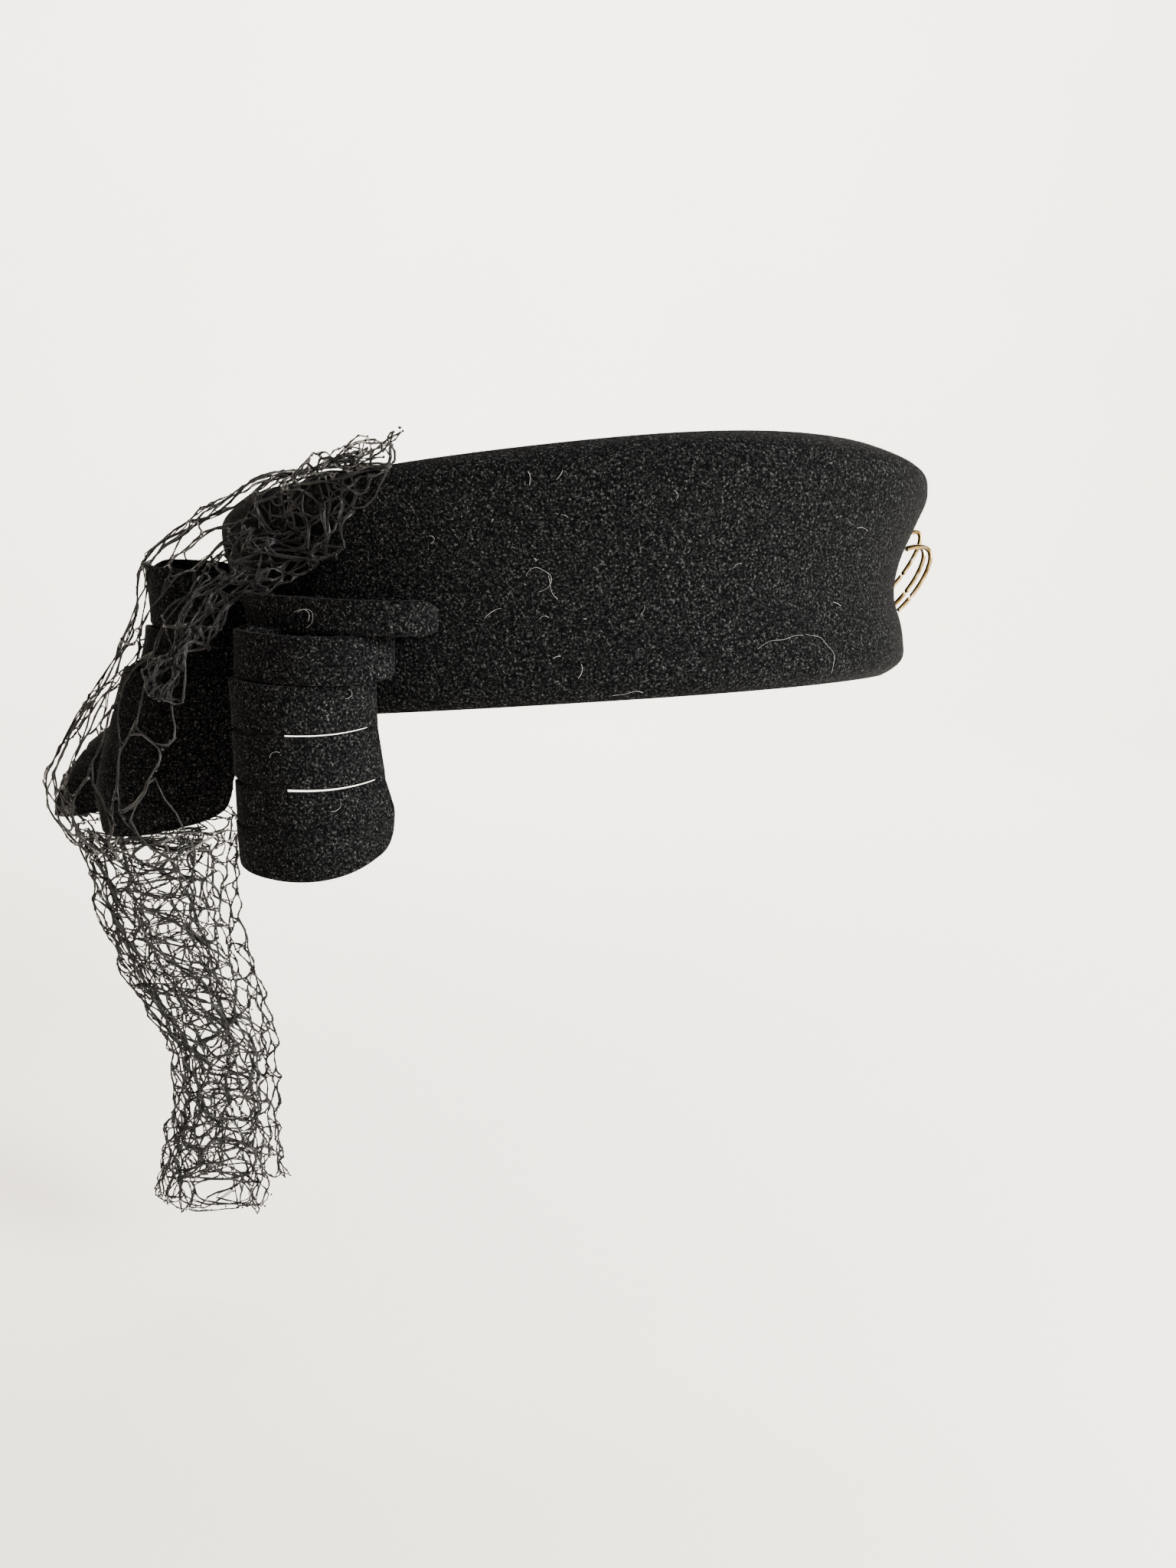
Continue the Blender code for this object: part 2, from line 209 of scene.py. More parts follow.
# The net's sheets: name, columns and rows of meshes, flat width and length, row of the tables
# above where it starts and ends, crumpling (m), share of DROOPS, table of folds, crumpling's seed
NET_SHEETS = (
    ("net_over_hat", 12, 9, 0.216, 0.160, 0.0, 10.0, 0.0009, 0.0, "HAT", 3),
    ("net_bunch", 9, 11, 0.130, 0.150, 0.1, 6.3, 0.0022, 1.0, "BUNCH", 5),
    ("net_tail", 36, 14, 0.470, 0.182, 9.9, 17.0, 0.0018, 1.0, "TAIL", 4),
)
# Folds across each sheet: share of its width, place across the surface at its top and at its
# lower end (0 is the near edge), layers that lie under it
NET_FOLDS = {
    "HAT": ((0.00, 0.01, 0.00, 0.0), (0.50, 0.50, 0.50, 0.0), (1.00, 1.00, 1.00, 0.0)),
    "BUNCH": (
        (0.00, 0.20, 0.10, 0.6),
        (0.28, 0.01, 0.00, 1.2),
        (0.56, 0.24, 0.07, 1.8),
        (0.80, 0.03, 0.01, 1.2),
        (1.00, 0.20, 0.05, 0.6),
    ),
    "TAIL": (
        (0.00, 0.04, 0.02, 0.0),
        (0.12, 0.38, 0.40, 0.5),
        (0.22, 0.10, 0.06, 1.2),
        (0.34, 0.40, 0.44, 1.8),
        (0.44, 0.14, 0.10, 2.2),
        (0.58, 0.50, 0.50, 1.6),
        (0.70, 0.84, 0.80, 1.0),
        (0.80, 0.66, 0.64, 1.6),
        (0.92, 0.96, 0.98, 1.0),
        (1.00, 0.80, 0.78, 0.4),
    ),
}
CRUMPLE_WAVES = 12
CRUMPLE_LENGTHS = (0.009, 0.034)
LAYER_OVER_HAT = 0.0008  # from one layer to the next
LAYER_IN_TAIL = 0.0020
PLEATS = ((9, 0.009), (17, 0.005), (29, 0.002))  # waves across the tail, sway as a share of it
DROOPS = ((2.3, 0.035), (5.6, 0.030), (9.0, 0.018))  # the same, of how far its rows hang down
# A mesh's six knots, in half meshes to the side and thirds of a row down
MESH_CORNERS = ((0, -2), (1, -1), (1, 1), (0, 2), (-1, 1), (-1, -1))
LOOP_ROUNDING = 0.34  # share of a mesh's side that its rounded corner takes at each end
CORNER_STEPS = (0.1, 0.5, 0.9)
THREAD = 0.00050
THREAD_RINGS = ((0.00005, 0.00012), (0.00024, 0.00024))  # inset of each ring, its crinkle
KNOT = 0.0007
KNOT_SCATTER = 0.14  # of a mesh
KNOT_SIZES = (0.6, 1.0)  # of KNOT
LOOK_OUT = 0.022  # how far out over a point of net felt is looked for
CLEARANCE = 0.0005

# The felt's loose fibres
FIBRES = 30000
FIBRE_LENGTHS = (0.0004, 0.0014)
FIBRE_THICKNESS = 0.00006
FIBRE_RISE = (0.05, 0.7)
FIBRE_BEND = 0.2  # of its length
FIBRE_SEED = 11
# Lint on the felt: place in the picture (pixels of 1536 by 2048), heading there and whole turn
# (degrees, clockwise), length (pixels), thickness (m)
LINT = (
    (687, 752, -60, 230, 70, 0.000085),
    (716, 752, 80, -30, 34, 0.000085),
    (990, 848, -28, 30, 64, 0.00008),
    (1052, 828, 5, 105, 74, 0.00008),
    (388, 800, -30, 190, 46, 0.00008),
    (402, 812, -80, -150, 34, 0.00008),
    (690, 616, 65, 30, 18, 0.000105),
    (735, 614, 100, 40, 15, 0.000105),
    (733, 672, 20, 60, 10, 0.000105),
    (633, 808, -50, 60, 26, 0.00009),
    (704, 809, -35, 90, 15, 0.000105),
    (722, 860, -25, 50, 11, 0.000105),
    (759, 867, 80, 40, 21, 0.000105),
    (799, 909, -22, 35, 42, 0.000105),
    (1088, 786, 20, 50, 12, 0.000105),
    (762, 808, 20, 0, 4, 0.00022),
    (698, 729, 60, 0, 4, 0.00022),
    (644, 678, 120, 0, 4, 0.00022),
    (455, 900, 30, 160, 20, 0.00009),
    (352, 990, -60, 120, 18, 0.00009),
    (432, 1060, 10, -140, 22, 0.00009),
    (880, 640, 40, 120, 16, 0.00009),
    (958, 742, -70, 90, 14, 0.00009),
    (560, 700, 15, 170, 18, 0.00009),
    (842, 790, 100, 60, 14, 0.00009),
    (1120, 690, -30, 120, 15, 0.00009),
)
LINT_STEP = 4  # pixels
LINT_SWAY = 14  # degrees
LINT_WAVE = (5, 7)  # pixels across and down
LINT_LIFT = 0.0003

# Wire loops, as their solids but a little thicker
WIRE = 0.0016
WIRE_REACH = 0.0088
WIRE_HEIGHT = 0.022
WIRE_SEAT = 0.0009
WIRE_STEPS = 48
WIRE_SIDES = 14
# Name, angle (degrees), height of its foot (share of the wall), shares of its reach and its height
WIRE_LOOPS = (
    ("wire_loop_front", 355.0, 0.30, 1.00, 1.00),
    ("wire_loop_middle", 357.6, 0.33, 0.86, 0.92),
    ("wire_loop_back", 2.5, 0.40, 0.80, 0.95),
)
# Controls of its curve: outward, upward
WIRE_CURVE = ((0.00, 0.00), (0.95, 0.40), (1.75, 1.20), (0.00, 0.95))


def mix(a, b, share):
    return a + (b - a) * share


def bent(value, squareness):
    """A sine or cosine drawn out towards a square's."""
    return math.copysign(abs(value) ** (2 / squareness), value)


def through_three(near, middle, far, share):
    """The parabola that takes these values at 0, a half and 1."""
    return (
        near * (1 - share) * (1 - 2 * share)
        + middle * 4 * share * (1 - share)
        + far * share * (2 * share - 1)
    )


def column_at(table, share, column=1):
    """A smooth curve through one column of a table over its first column, at one or many places."""
    x, y = np.array([(row[0], row[column]) for row in sorted(table)], float).T
    slope = np.gradient(y, x)
    i = np.clip(np.searchsorted(x, share) - 1, 0, len(x) - 2)
    width = x[i + 1] - x[i]
    t = np.clip((share - x[i]) / width, 0, 1)
    return (
        y[i] * (1 + 2 * t) * (1 - t) ** 2
        + slope[i] * width * t * (1 - t) ** 2
        + y[i + 1] * t * t * (3 - 2 * t)
        + slope[i + 1] * width * t * t * (t - 1)
    )


def worn():
    return Matrix.Rotation(WORN_PITCH, 4, "Y") @ Matrix.Rotation(WORN_ROLL, 4, "X")


def oval(angle, inset=0.0):
    """The crown's outline in plan at this angle, taken in all round."""
    return Vector(
        (
            CROWN_FORWARD + (CROWN_LENGTH / 2 - inset) * bent(math.cos(angle), CROWN_SQUARENESS),
            (CROWN_WIDTH / 2 - inset) * bent(math.sin(angle), CROWN_SQUARENESS),
            0.0,
        )
    )


def outward(angle):
    along = oval(angle + OUTWARD_STEP) - oval(angle - OUTWARD_STEP)
    return Vector((along.y, -along.x, 0)).normalized()


def dent(angle):
    front = ((1 + math.cos(angle)) / 2) ** 2
    return FRONT_DENT * mix(SIDE_DENT_SHARE, 1.0, front)


def top_height(point):
    """The top edge rises towards the front end and falls away just before it."""
    forward = (point.x - CROWN_FORWARD) / (CROWN_LENGTH / 2)
    return CROWN_HEIGHT + FRONT_RISE * forward - FRONT_FALL * max(0.0, forward) ** 3


def edge_height(point):
    """The lower edge lifts a little towards the front end."""
    return FRONT_LIFT * max(0.0, (point.x - CROWN_FORWARD) / (CROWN_LENGTH / 2)) ** 3


def wall_point(angle, height_share):
    """A point of the crown's outer wall, in the crown's own frame."""
    point = oval(angle, dent(angle) * column_at(CROWN_WALL, height_share))
    point.z = mix(edge_height(point), top_height(point), height_share)
    return point


def beside_wall(angle, height, seat):
    """A point at this height as worn, seat away from the wall. Below the hat it hangs straight."""
    lowest, highest = WALL_SEATS
    share = lowest
    for _ in range(SEAT_ROUNDS):
        point = worn() @ wall_point(angle, share)
        share = min(max(share + (height - point.z) / CROWN_HEIGHT, lowest), highest)
    point = worn() @ wall_point(angle, share) + outward(angle) * seat
    point.z = height
    return point


def below_curl_top(drop):
    return CROWN_HEIGHT * CURL_TOP - CURL_LENGTH * drop


def loop_row(curl, down, sag, reach, depth_share, turns):
    """One edge of a band: a loop from the far end on the wall, round the front, to the near end."""
    _, far_angle, near_angle, drop, length, curl_share, lean, _ = curl
    height = below_curl_top(drop + length * down)
    far_end = beside_wall(math.radians(far_angle), height, CURL_SEAT)
    near_end = beside_wall(math.radians(near_angle + reach), height, CURL_SEAT)
    centre = (far_end + near_end) / 2
    along = (near_end - far_end) / 2
    out = Vector((along.y, -along.x, 0)).normalized()
    turned_in = bent(math.sin(CURL_CLOSURE), CURL_SQUARENESS)
    wide = 1 / bent(math.cos(CURL_CLOSURE), CURL_SQUARENESS)
    deep = CURL_DEPTH * curl_share * depth_share / (1 + turned_in)
    swing = CURL_LENGTH * lean * down**2
    points = []
    for share in turns:
        turn = mix(math.pi + CURL_CLOSURE, -CURL_CLOSURE, share)
        across = wide * bent(math.cos(turn), CURL_SQUARENESS)
        stand_off = deep * (bent(math.sin(turn), CURL_SQUARENESS) + turned_in)
        point = centre + along * across + out * (stand_off + swing)
        hangs = bent(max(0.0, math.sin(math.pi * share)), SAG_SQUARENESS)
        point.z -= CURL_LENGTH * length * sag * hangs
        points.append(point)
    return points


def veil_over_crown(row, share):
    angle = math.radians(mix(row[0], row[1], share))
    stand_off = NET_SEAT + NET_LAP * through_three(*row[2:5], share)
    return beside_wall(angle, CROWN_HEIGHT * through_three(*row[5:8], share), stand_off)


def veil_over_curls(row, share):
    angle = math.radians(mix(row[0], row[1], share))
    lean = CURL_LENGTH * row[8] * share
    stand_off = NET_SEAT + CURL_DEPTH * through_three(*row[2:5], share) + lean
    return beside_wall(angle, below_curl_top(through_three(*row[5:8], share)), stand_off)


def veil_tail(row, share):
    hung, middle, half_width, depth = row
    turn = mix(math.tau - TAIL_GAP, TAIL_GAP, share)
    back = CROWN_FORWARD - CROWN_LENGTH / 2 - TAIL_BEHIND
    along = middle + half_width * bent(math.cos(turn), TAIL_SQUARENESS)
    across = depth / 2 * bent(math.sin(turn), TAIL_SQUARENESS)
    return Vector(
        (
            back + TAIL_WIDTH * along,
            TAIL_SIDE + TAIL_DEPTH * across,
            below_curl_top(TAIL_DROP) - TAIL_LENGTH * hung,
        )
    )


def drape_grid():
    """The net's smooth underlying surface as a grid of points, rows down by steps across."""
    makers = [(veil_over_crown, row) for row in NET_OVER_CROWN]
    makers += [(veil_over_curls, row) for row in NET_OVER_CURLS]
    makers += [(veil_tail, row) for row in TAIL_ROWS]
    steps = np.linspace(0, 1, GRID_STEPS + 1)
    rows = np.array([[make(row, share) for share in steps] for make, row in makers])
    fine = []
    for place in np.linspace(0, len(rows) - 1, GRID_STEPS * 2 + 1):
        first = min(int(place), len(rows) - 2)
        a, b, c, d = (rows[min(max(first + step, 0), len(rows) - 1)] for step in (-1, 0, 1, 2))
        t = place - first
        fine.append(
            b
            + (c - a) * (t / 2)
            + (a * 2 - b * 5 + c * 4 - d) * (t * t / 2)
            + (b * 3 - a - c * 3 + d) * (t**3 / 2)
        )
    return np.array(fine)


def read_grid(grid, down, across):
    """Points of the grid at these shares down and across, between its own points."""
    v = np.clip(down, 0, 1) * (grid.shape[0] - 1)
    u = np.clip(across, 0, 1) * (grid.shape[1] - 1)
    j = np.minimum(v.astype(int), grid.shape[0] - 2)
    i = np.minimum(u.astype(int), grid.shape[1] - 2)
    v, u = (v - j)[..., None], (u - i)[..., None]
    upper = grid[j, i] * (1 - u) + grid[j, i + 1] * u
    lower = grid[j + 1, i] * (1 - u) + grid[j + 1, i + 1] * u
    return upper * (1 - v) + lower * v


def grid_normals(grid):
    down = np.gradient(grid, axis=0)
    across = np.gradient(grid, axis=1)
    normal = np.cross(across, down)
    return normal / np.maximum(np.linalg.norm(normal, axis=-1, keepdims=True), 1e-9)


# Materials


def new_material(name, roughness, **sockets):
    material = bpy.data.materials.new(name)
    material.use_nodes = True
    shader = material.node_tree.nodes["Principled BSDF"]
    shader.inputs["Roughness"].default_value = roughness
    for socket, value in sockets.items():
        shader.inputs[socket.replace("_", " ")].default_value = value
    return material, shader


def add_node(material, kind, **values):
    node = material.node_tree.nodes.new(kind)
    for name, value in values.items():
        if name in node.inputs:
            node.inputs[name].default_value = value
        else:
            setattr(node, name, value)
    return node


def link(material, output, target):
    material.node_tree.links.new(output, target)


def noise_node(material, scale, detail, roughness=0.5):
    place = add_node(material, "ShaderNodeTexCoord")
    node = add_node(material, "ShaderNodeTexNoise", Scale=scale, Detail=detail, Roughness=roughness)
    link(material, place.outputs["Object"], node.inputs["Vector"])
    return node


def ramp_node(material, source, stops):
    ramp = add_node(material, "ShaderNodeValToRGB")
    link(material, source, ramp.inputs["Fac"])
    while len(ramp.color_ramp.elements) < len(stops):
        ramp.color_ramp.elements.new(0.5)
    for element, (place, colour) in zip(ramp.color_ramp.elements, stops):
        element.position = place
        element.color = (*colour, 1.0)
    return ramp


def colour_by(material, shader, noise, stops):
    """Tints the surface with a ramp of colours over a noise."""
    ramp = ramp_node(material, noise.outputs["Fac"], stops)
    link(material, ramp.outputs["Color"], shader.inputs["Base Color"])


def roughen_by(material, shader, noise, strength, distance):
    bump = add_node(material, "ShaderNodeBump", Strength=strength, Distance=distance)
    link(material, noise.outputs["Fac"], bump.inputs["Height"])
    link(material, bump.outputs["Normal"], shader.inputs["Normal"])


def felt_material():
    material, shader = new_material(
        "black_felt",
        0.95,
        Specular_IOR_Level=0.015,
        Sheen_Weight=0.008,
        Sheen_Roughness=0.5,
        Sheen_Tint=(0.6, 0.62, 0.64, 1.0),
    )
    flecks = (
        (0.42, (0.0004, 0.0004, 0.0005)),
        (0.52, (0.0020, 0.0021, 0.0022)),
        (0.61, (0.0085, 0.0090, 0.0091)),
        (0.72, (0.0450, 0.0460, 0.0465)),
    )
    colour_by(material, shader, noise_node(material, 1300, 3, 0.75), flecks)
    roughen_by(material, shader, noise_node(material, 900, 4, 0.65), 0.6, 0.0004)
    return material


def fibre_material():
    material, shader = new_material("felt_fibres", 0.8, Specular_IOR_Level=0.2)
    greys = ((0.40, (0.006, 0.0063, 0.0066)), (0.65, (0.070, 0.072, 0.074)))
    colour_by(material, shader, noise_node(material, 700, 1), greys)
    return material


def lint_material():
    material, shader = new_material("pale_lint", 0.7)
    pales = ((0.35, (0.07, 0.07, 0.07)), (0.65, (0.18, 0.18, 0.175)))
    colour_by(material, shader, noise_node(material, 300, 1), pales)
    return material


def net_material():
    material, shader = new_material(
        "black_thread", 0.36, Specular_IOR_Level=0.16, Sheen_Weight=0.01, Sheen_Roughness=0.4
    )
    twist = noise_node(material, 2500, 2)
    blacks = ((0.35, (0.0015, 0.0015, 0.0017)), (0.7, (0.012, 0.012, 0.0125)))
    colour_by(material, shader, twist, blacks)
    roughen_by(material, shader, twist, 0.4, 0.0001)
    return material


def wire_material():
    material, shader = new_material("gold_tone_wire", 0.2, Metallic=1.0)
    wear = noise_node(material, 350, 4, 0.6)
    golds = ((0.36, (0.14, 0.09, 0.03)), (0.52, (0.36, 0.26, 0.10)), (0.68, (0.58, 0.52, 0.42)))
    colour_by(material, shader, wear, golds)
    rough = add_node(material, "ShaderNodeMapRange")
    rough.inputs["To Min"].default_value = 0.14
    rough.inputs["To Max"].default_value = 0.34
    link(material, wear.outputs["Fac"], rough.inputs["Value"])
    link(material, rough.outputs["Result"], shader.inputs["Roughness"])
    return material


def floor_material():
    material, shader = new_material("pale_floor", 0.7)
    pales = ((0.3, (0.80, 0.755, 0.69)), (0.7, (0.82, 0.78, 0.725)))
    colour_by(material, shader, noise_node(material, 3, 3), pales)
    return material


# Pieces


def new_object(name, points, faces, material):
    mesh = bpy.data.meshes.new(name)
    mesh.from_pydata(points, [], faces)
    mesh.shade_smooth()
    mesh.materials.append(material)
    obj = bpy.data.objects.new(name, mesh)
    bpy.context.scene.collection.objects.link(obj)
    return obj


def add_piece(name, points, faces, material, replaced=None):
    obj = new_object(name, points, faces, material)
    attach(obj, "root")
    if replaced:
        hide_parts(replaced)
    return obj


def grid_faces(rows, columns, closed):
    """Quads between the points of rows by columns, in a ring if closed."""
    faces = []
    for start in range(0, (rows - 1) * columns, columns):
        for i in range(columns if closed else columns - 1):
            k = (i + 1) % columns
            faces.append((start + i, start + k, start + columns + k, start + columns + i))
    return faces


def thicken(obj, offset):
    wall = obj.modifiers.new("Wall", "SOLIDIFY")
    wall.thickness = FELT
    wall.offset = offset
    soften = obj.modifiers.new("Soft edges", "SUBSURF")
    soften.levels = soften.render_levels = 1


def make_crown(material):
    stand = worn()
    angles = np.linspace(0, math.tau, CROWN_COLUMNS, endpoint=False)
    rings = [[wall_point(angle, share) for angle in angles] for share in WALL_STEPS]
    edge = [Vector((point.x, point.y, 0)) for point in rings[-1]]
    centre = Vector((CROWN_FORWARD, 0, 0))
    for radius in TOP_STEPS:
        ring = [centre + (point - centre) * radius for point in edge]
        for point in ring:
            point.z = top_height(point) + CROWN_DOME * column_at(CROWN_TOP, radius)
        rings.append(ring)
    points = [stand @ point for ring in rings for point in ring]
    faces = grid_faces(len(rings), CROWN_COLUMNS, True)
    points.append(stand @ (centre + Vector((0, 0, CROWN_HEIGHT + CROWN_DOME))))
    tip = len(points) - 1
    last = (len(rings) - 1) * CROWN_COLUMNS
    faces += [(last + i, last + (i + 1) % CROWN_COLUMNS, tip) for i in range(CROWN_COLUMNS)]
    thicken(add_piece("crown_felt", points, faces, material, "crown"), -1)


def gape(slit, share):
    """How far a slit stands open at this share of its loop."""
    most, middle, half_length = slit
    return SEAM + most * math.exp(-(((share - middle) / half_length) ** 2))


def corner_insets(row, corner):
    """How far a band's edges draw in where its loop folds, which rounds the corners there."""
    across = np.array([point.x for point in row])
    from_fold = np.minimum(across.max() - across, across - across.min())
    near_fold = np.clip(1 - from_fold / corner, 0, 1)
    return corner * (1 - np.sqrt(1 - near_fold**2))


def make_curl(curl, material):
    """A felt tongue slit into bands. Between bands only the two end margins are left."""
    name, bands, slits = curl[0], BANDS[curl[-1]], SLITS[curl[-1]]
    turns = np.linspace(0, 1, LOOP_STEPS + 1)
    margin = round(LOOP_STEPS * MARGIN_SHARE)
    width = LOOP_STEPS + 1
    points, faces = [], []
    start = 0.0
    for number, band in enumerate(bands):
        first = len(points)
        upper, lower = (start, *band[1::2]), (band[0], *band[2::2])
        upper_corner = BAND_CORNER if number else TOP_CORNER
        lower_corner = FOOT_CORNER if band is bands[-1] else BAND_CORNER
        for step in BAND_STEPS:
            edge = [mix(a, b, step) for a, b in zip(upper, lower)]
            row = loop_row(curl, *edge, turns)
            if number:
                for share, point in zip(turns, row):
                    point.z -= gape(slits[number - 1], share) * (1 - step) ** 2
            insets = corner_insets(row, upper_corner), corner_insets(row, lower_corner)
            for point, above, below in zip(row, *insets):
                point.z += below * step**2 - above * (1 - step) ** 2
            points += row
        band_faces = grid_faces(len(BAND_STEPS), width, False)
        faces += [tuple(first + k for k in face) for face in band_faces]
        if number:
            for i in (*range(margin), *range(LOOP_STEPS - margin, LOOP_STEPS)):
                faces.append((first - width + i, first - width + i + 1, first + i + 1, first + i))
        start = band[0]
    thicken(add_piece(name + "_felt", points, faces, material, name), 0)


def tube(path, radius, sides):
    """A closed tube along a path, as points and faces."""
    tangent = np.gradient(path, axis=0)
    tangent /= np.maximum(np.linalg.norm(tangent, axis=-1, keepdims=True), 1e-9)
    helper = np.where(np.abs(tangent[:, 2:3]) > 0.8, [[1.0, 0, 0]], [[0, 0, 1.0]])
    side = np.cross(tangent, helper)
    side /= np.maximum(np.linalg.norm(side, axis=-1, keepdims=True), 1e-9)
    other = np.cross(tangent, side)
    turns = np.arange(sides)[:, None] * math.tau / sides
    ring = side[:, None] * np.cos(turns) + other[:, None] * np.sin(turns)
    points = (path[:, None] + ring * radius).reshape(-1, 3)
    faces = []
    for a in range(0, (len(path) - 1) * sides, sides):
        for i in range(sides):
            k = (i + 1) % sides
            faces.append((a + i, a + k, a + sides + k, a + sides + i))
    faces.append(tuple(reversed(range(sides))))
    faces.append(tuple(range((len(path) - 1) * sides, len(path) * sides)))
    return points, faces


# Net


def ease(value, start, end):
    t = np.clip((value - start) / (end - start), 0, 1)
    return t * t * (3 - 2 * t)


def ripples(place, seed):
    """A smooth random field over the flat net: one vector at each point, of about unit size."""
    randoms = np.random.default_rng(seed)
    total = np.zeros((*place.shape[:-1], 3))
    for _ in range(CRUMPLE_WAVES):
        length = randoms.uniform(*CRUMPLE_LENGTHS)
        angle = randoms.uniform(0, math.tau)
        phase = randoms.uniform(0, math.tau, 3)
        run = (place @ (math.cos(angle), math.sin(angle))) * math.tau / length
        total += np.sin(run[..., None] + phase)
    return total / math.sqrt(CRUMPLE_WAVES)


def even_rows(grid, rows, first, last, length):
    """The rows at these shares of the way from first to last, measured along the surface."""
    steps = np.linalg.norm(np.diff(grid[:, :: GRID_STEPS // 4], axis=0), axis=-1).mean(axis=1)
    run = np.concatenate([[0.0], np.cumsum(steps)])
    at = np.linspace(0, rows, len(run))
    start, end = np.interp((first, last), at, run)
    return np.interp(mix(start, end, length), run, at)


def hang(sheet, flat, grid, normals):
    """Where points of a flat sheet (shares of its width and length) lie once it is draped."""
    _, _, _, *flat_size, first, last, crumpling, unevenness, folds, seed = sheet
    rows = len(NET_OVER_CROWN) + len(NET_OVER_CURLS) + len(TAIL_ROWS) - 1
    width, length = flat[..., 0], flat[..., 1]
    for waves, droop in DROOPS:
        sag = np.sin(math.tau * waves * width + waves)
        length = length + unevenness * droop * sag * np.sin(math.pi * flat[..., 1])
    row = even_rows(grid, rows, first, last, length)
    in_tail = ease(row, *TAIL_STARTS)
    table = NET_FOLDS[folds]
    across = mix(column_at(table, width, 1), column_at(table, width, 2), ease(length, 0, 1))
    for waves, sway in PLEATS:
        across = across + sway * in_tail * np.sin(math.tau * waves * width + waves)
    lift = column_at(table, width, 3) * mix(LAYER_OVER_HAT, LAYER_IN_TAIL, in_tail)
    place = read_grid(grid, row / rows, across)
    normal = read_grid(normals, row / rows, across)
    crumple = ripples(flat * flat_size, seed)
    return place + normal * lift[..., None] + crumple * crumpling, normal, in_tail


def net_meshes(columns, rows):
    """The honeycomb's knots in the flat net and each mesh's six knots."""
    knots, meshes = {}, []
    for j in range(rows):
        for i in range(columns):
            ring = []
            for right, third in MESH_CORNERS:
                key = (2 * i + 1 + j % 2 + right, 3 * j + 2 + third)
                ring.append(knots.setdefault(key, len(knots)))
            meshes.append(ring)
    flat = np.array(list(knots), float) / (2 * columns + 1, 3 * rows + 1)
    return flat, np.array(meshes)


def rounded_rings(corners):
    """Closed paths round meshes, with their corners rounded: meshes by points by two."""
    before, after = np.roll(corners, 1, axis=1), np.roll(corners, -1, axis=1)
    into = corners + (before - corners) * LOOP_ROUNDING
    out = corners + (after - corners) * LOOP_ROUNDING
    steps = [(1 - t) ** 2 * into + 2 * t * (1 - t) * corners + t * t * out for t in CORNER_STEPS]
    steps.append((out + np.roll(into, -1, axis=1)) / 2)
    return np.stack(steps, axis=2).reshape(len(corners), -1, corners.shape[-1])


def ring_tubes(paths, radius, sides=3):
    """Rings of tube round closed paths, an array of rings by points by three."""
    count, length, _ = paths.shape
    tangent = np.roll(paths, -1, axis=1) - np.roll(paths, 1, axis=1)
    tangent /= np.maximum(np.linalg.norm(tangent, axis=-1, keepdims=True), 1e-9)
    inward = paths.mean(axis=1, keepdims=True) - paths
    other = np.cross(tangent, inward)
    other /= np.maximum(np.linalg.norm(other, axis=-1, keepdims=True), 1e-9)
    side = np.cross(other, tangent)
    turns = np.arange(sides) * math.tau / sides
    around = side[:, :, None] * np.cos(turns)[:, None] + other[:, :, None] * np.sin(turns)[:, None]
    points = (paths[:, :, None] + around * radius).reshape(-1, 3)
    a = np.arange(count * length * sides).reshape(count, length, sides)
    b, c = np.roll(a, -1, axis=2), np.roll(a, -1, axis=1)
    faces = np.stack([a, b, np.roll(b, -1, axis=1), c], axis=-1).reshape(-1, 4)
    return points, faces


def felt_meshes():
    """Each finished felt mesh, the crown's first."""
    graph = bpy.context.evaluated_depsgraph_get()
    for name in ("crown", "near_curl", "middle_curl", "far_curl"):
        yield bpy.data.objects[name + "_felt"].evaluated_get(graph).to_mesh()


def felt_tree():
    """Every felt surface that the net may lie on, for finding where it would cut in."""
    points, faces = [], []
    for mesh in felt_meshes():
        first = len(points)
        points += [vert.co.copy() for vert in mesh.vertices]
        faces += [tuple(first + k for k in face.vertices) for face in mesh.polygons]
    return BVHTree.FromPolygons(points, faces)


def keep_outside(places, normals, in_tail, tree):
    """Moves points that would be inside the felt, or under it, out to just above it."""
    flat_places, flat_normals = places.reshape(-1, 3), normals.reshape(-1, 3)
    for k in np.nonzero(in_tail.ravel() < 0.5)[0]:
        normal = Vector(flat_normals[k]).normalized()
        place = Vector(flat_places[k])
        hit, _, _, _ = tree.ray_cast(place + normal * LOOK_OUT, -normal, LOOK_OUT + CLEARANCE)
        if hit is not None:
            flat_places[k] = hit + normal * CLEARANCE
    return flat_places.reshape(places.shape)


def make_net(material, tree):
    grid = drape_grid()
    normals = grid_normals(grid)
    for sheet in NET_SHEETS:
        make_net_sheet(sheet, grid, normals, tree, material)


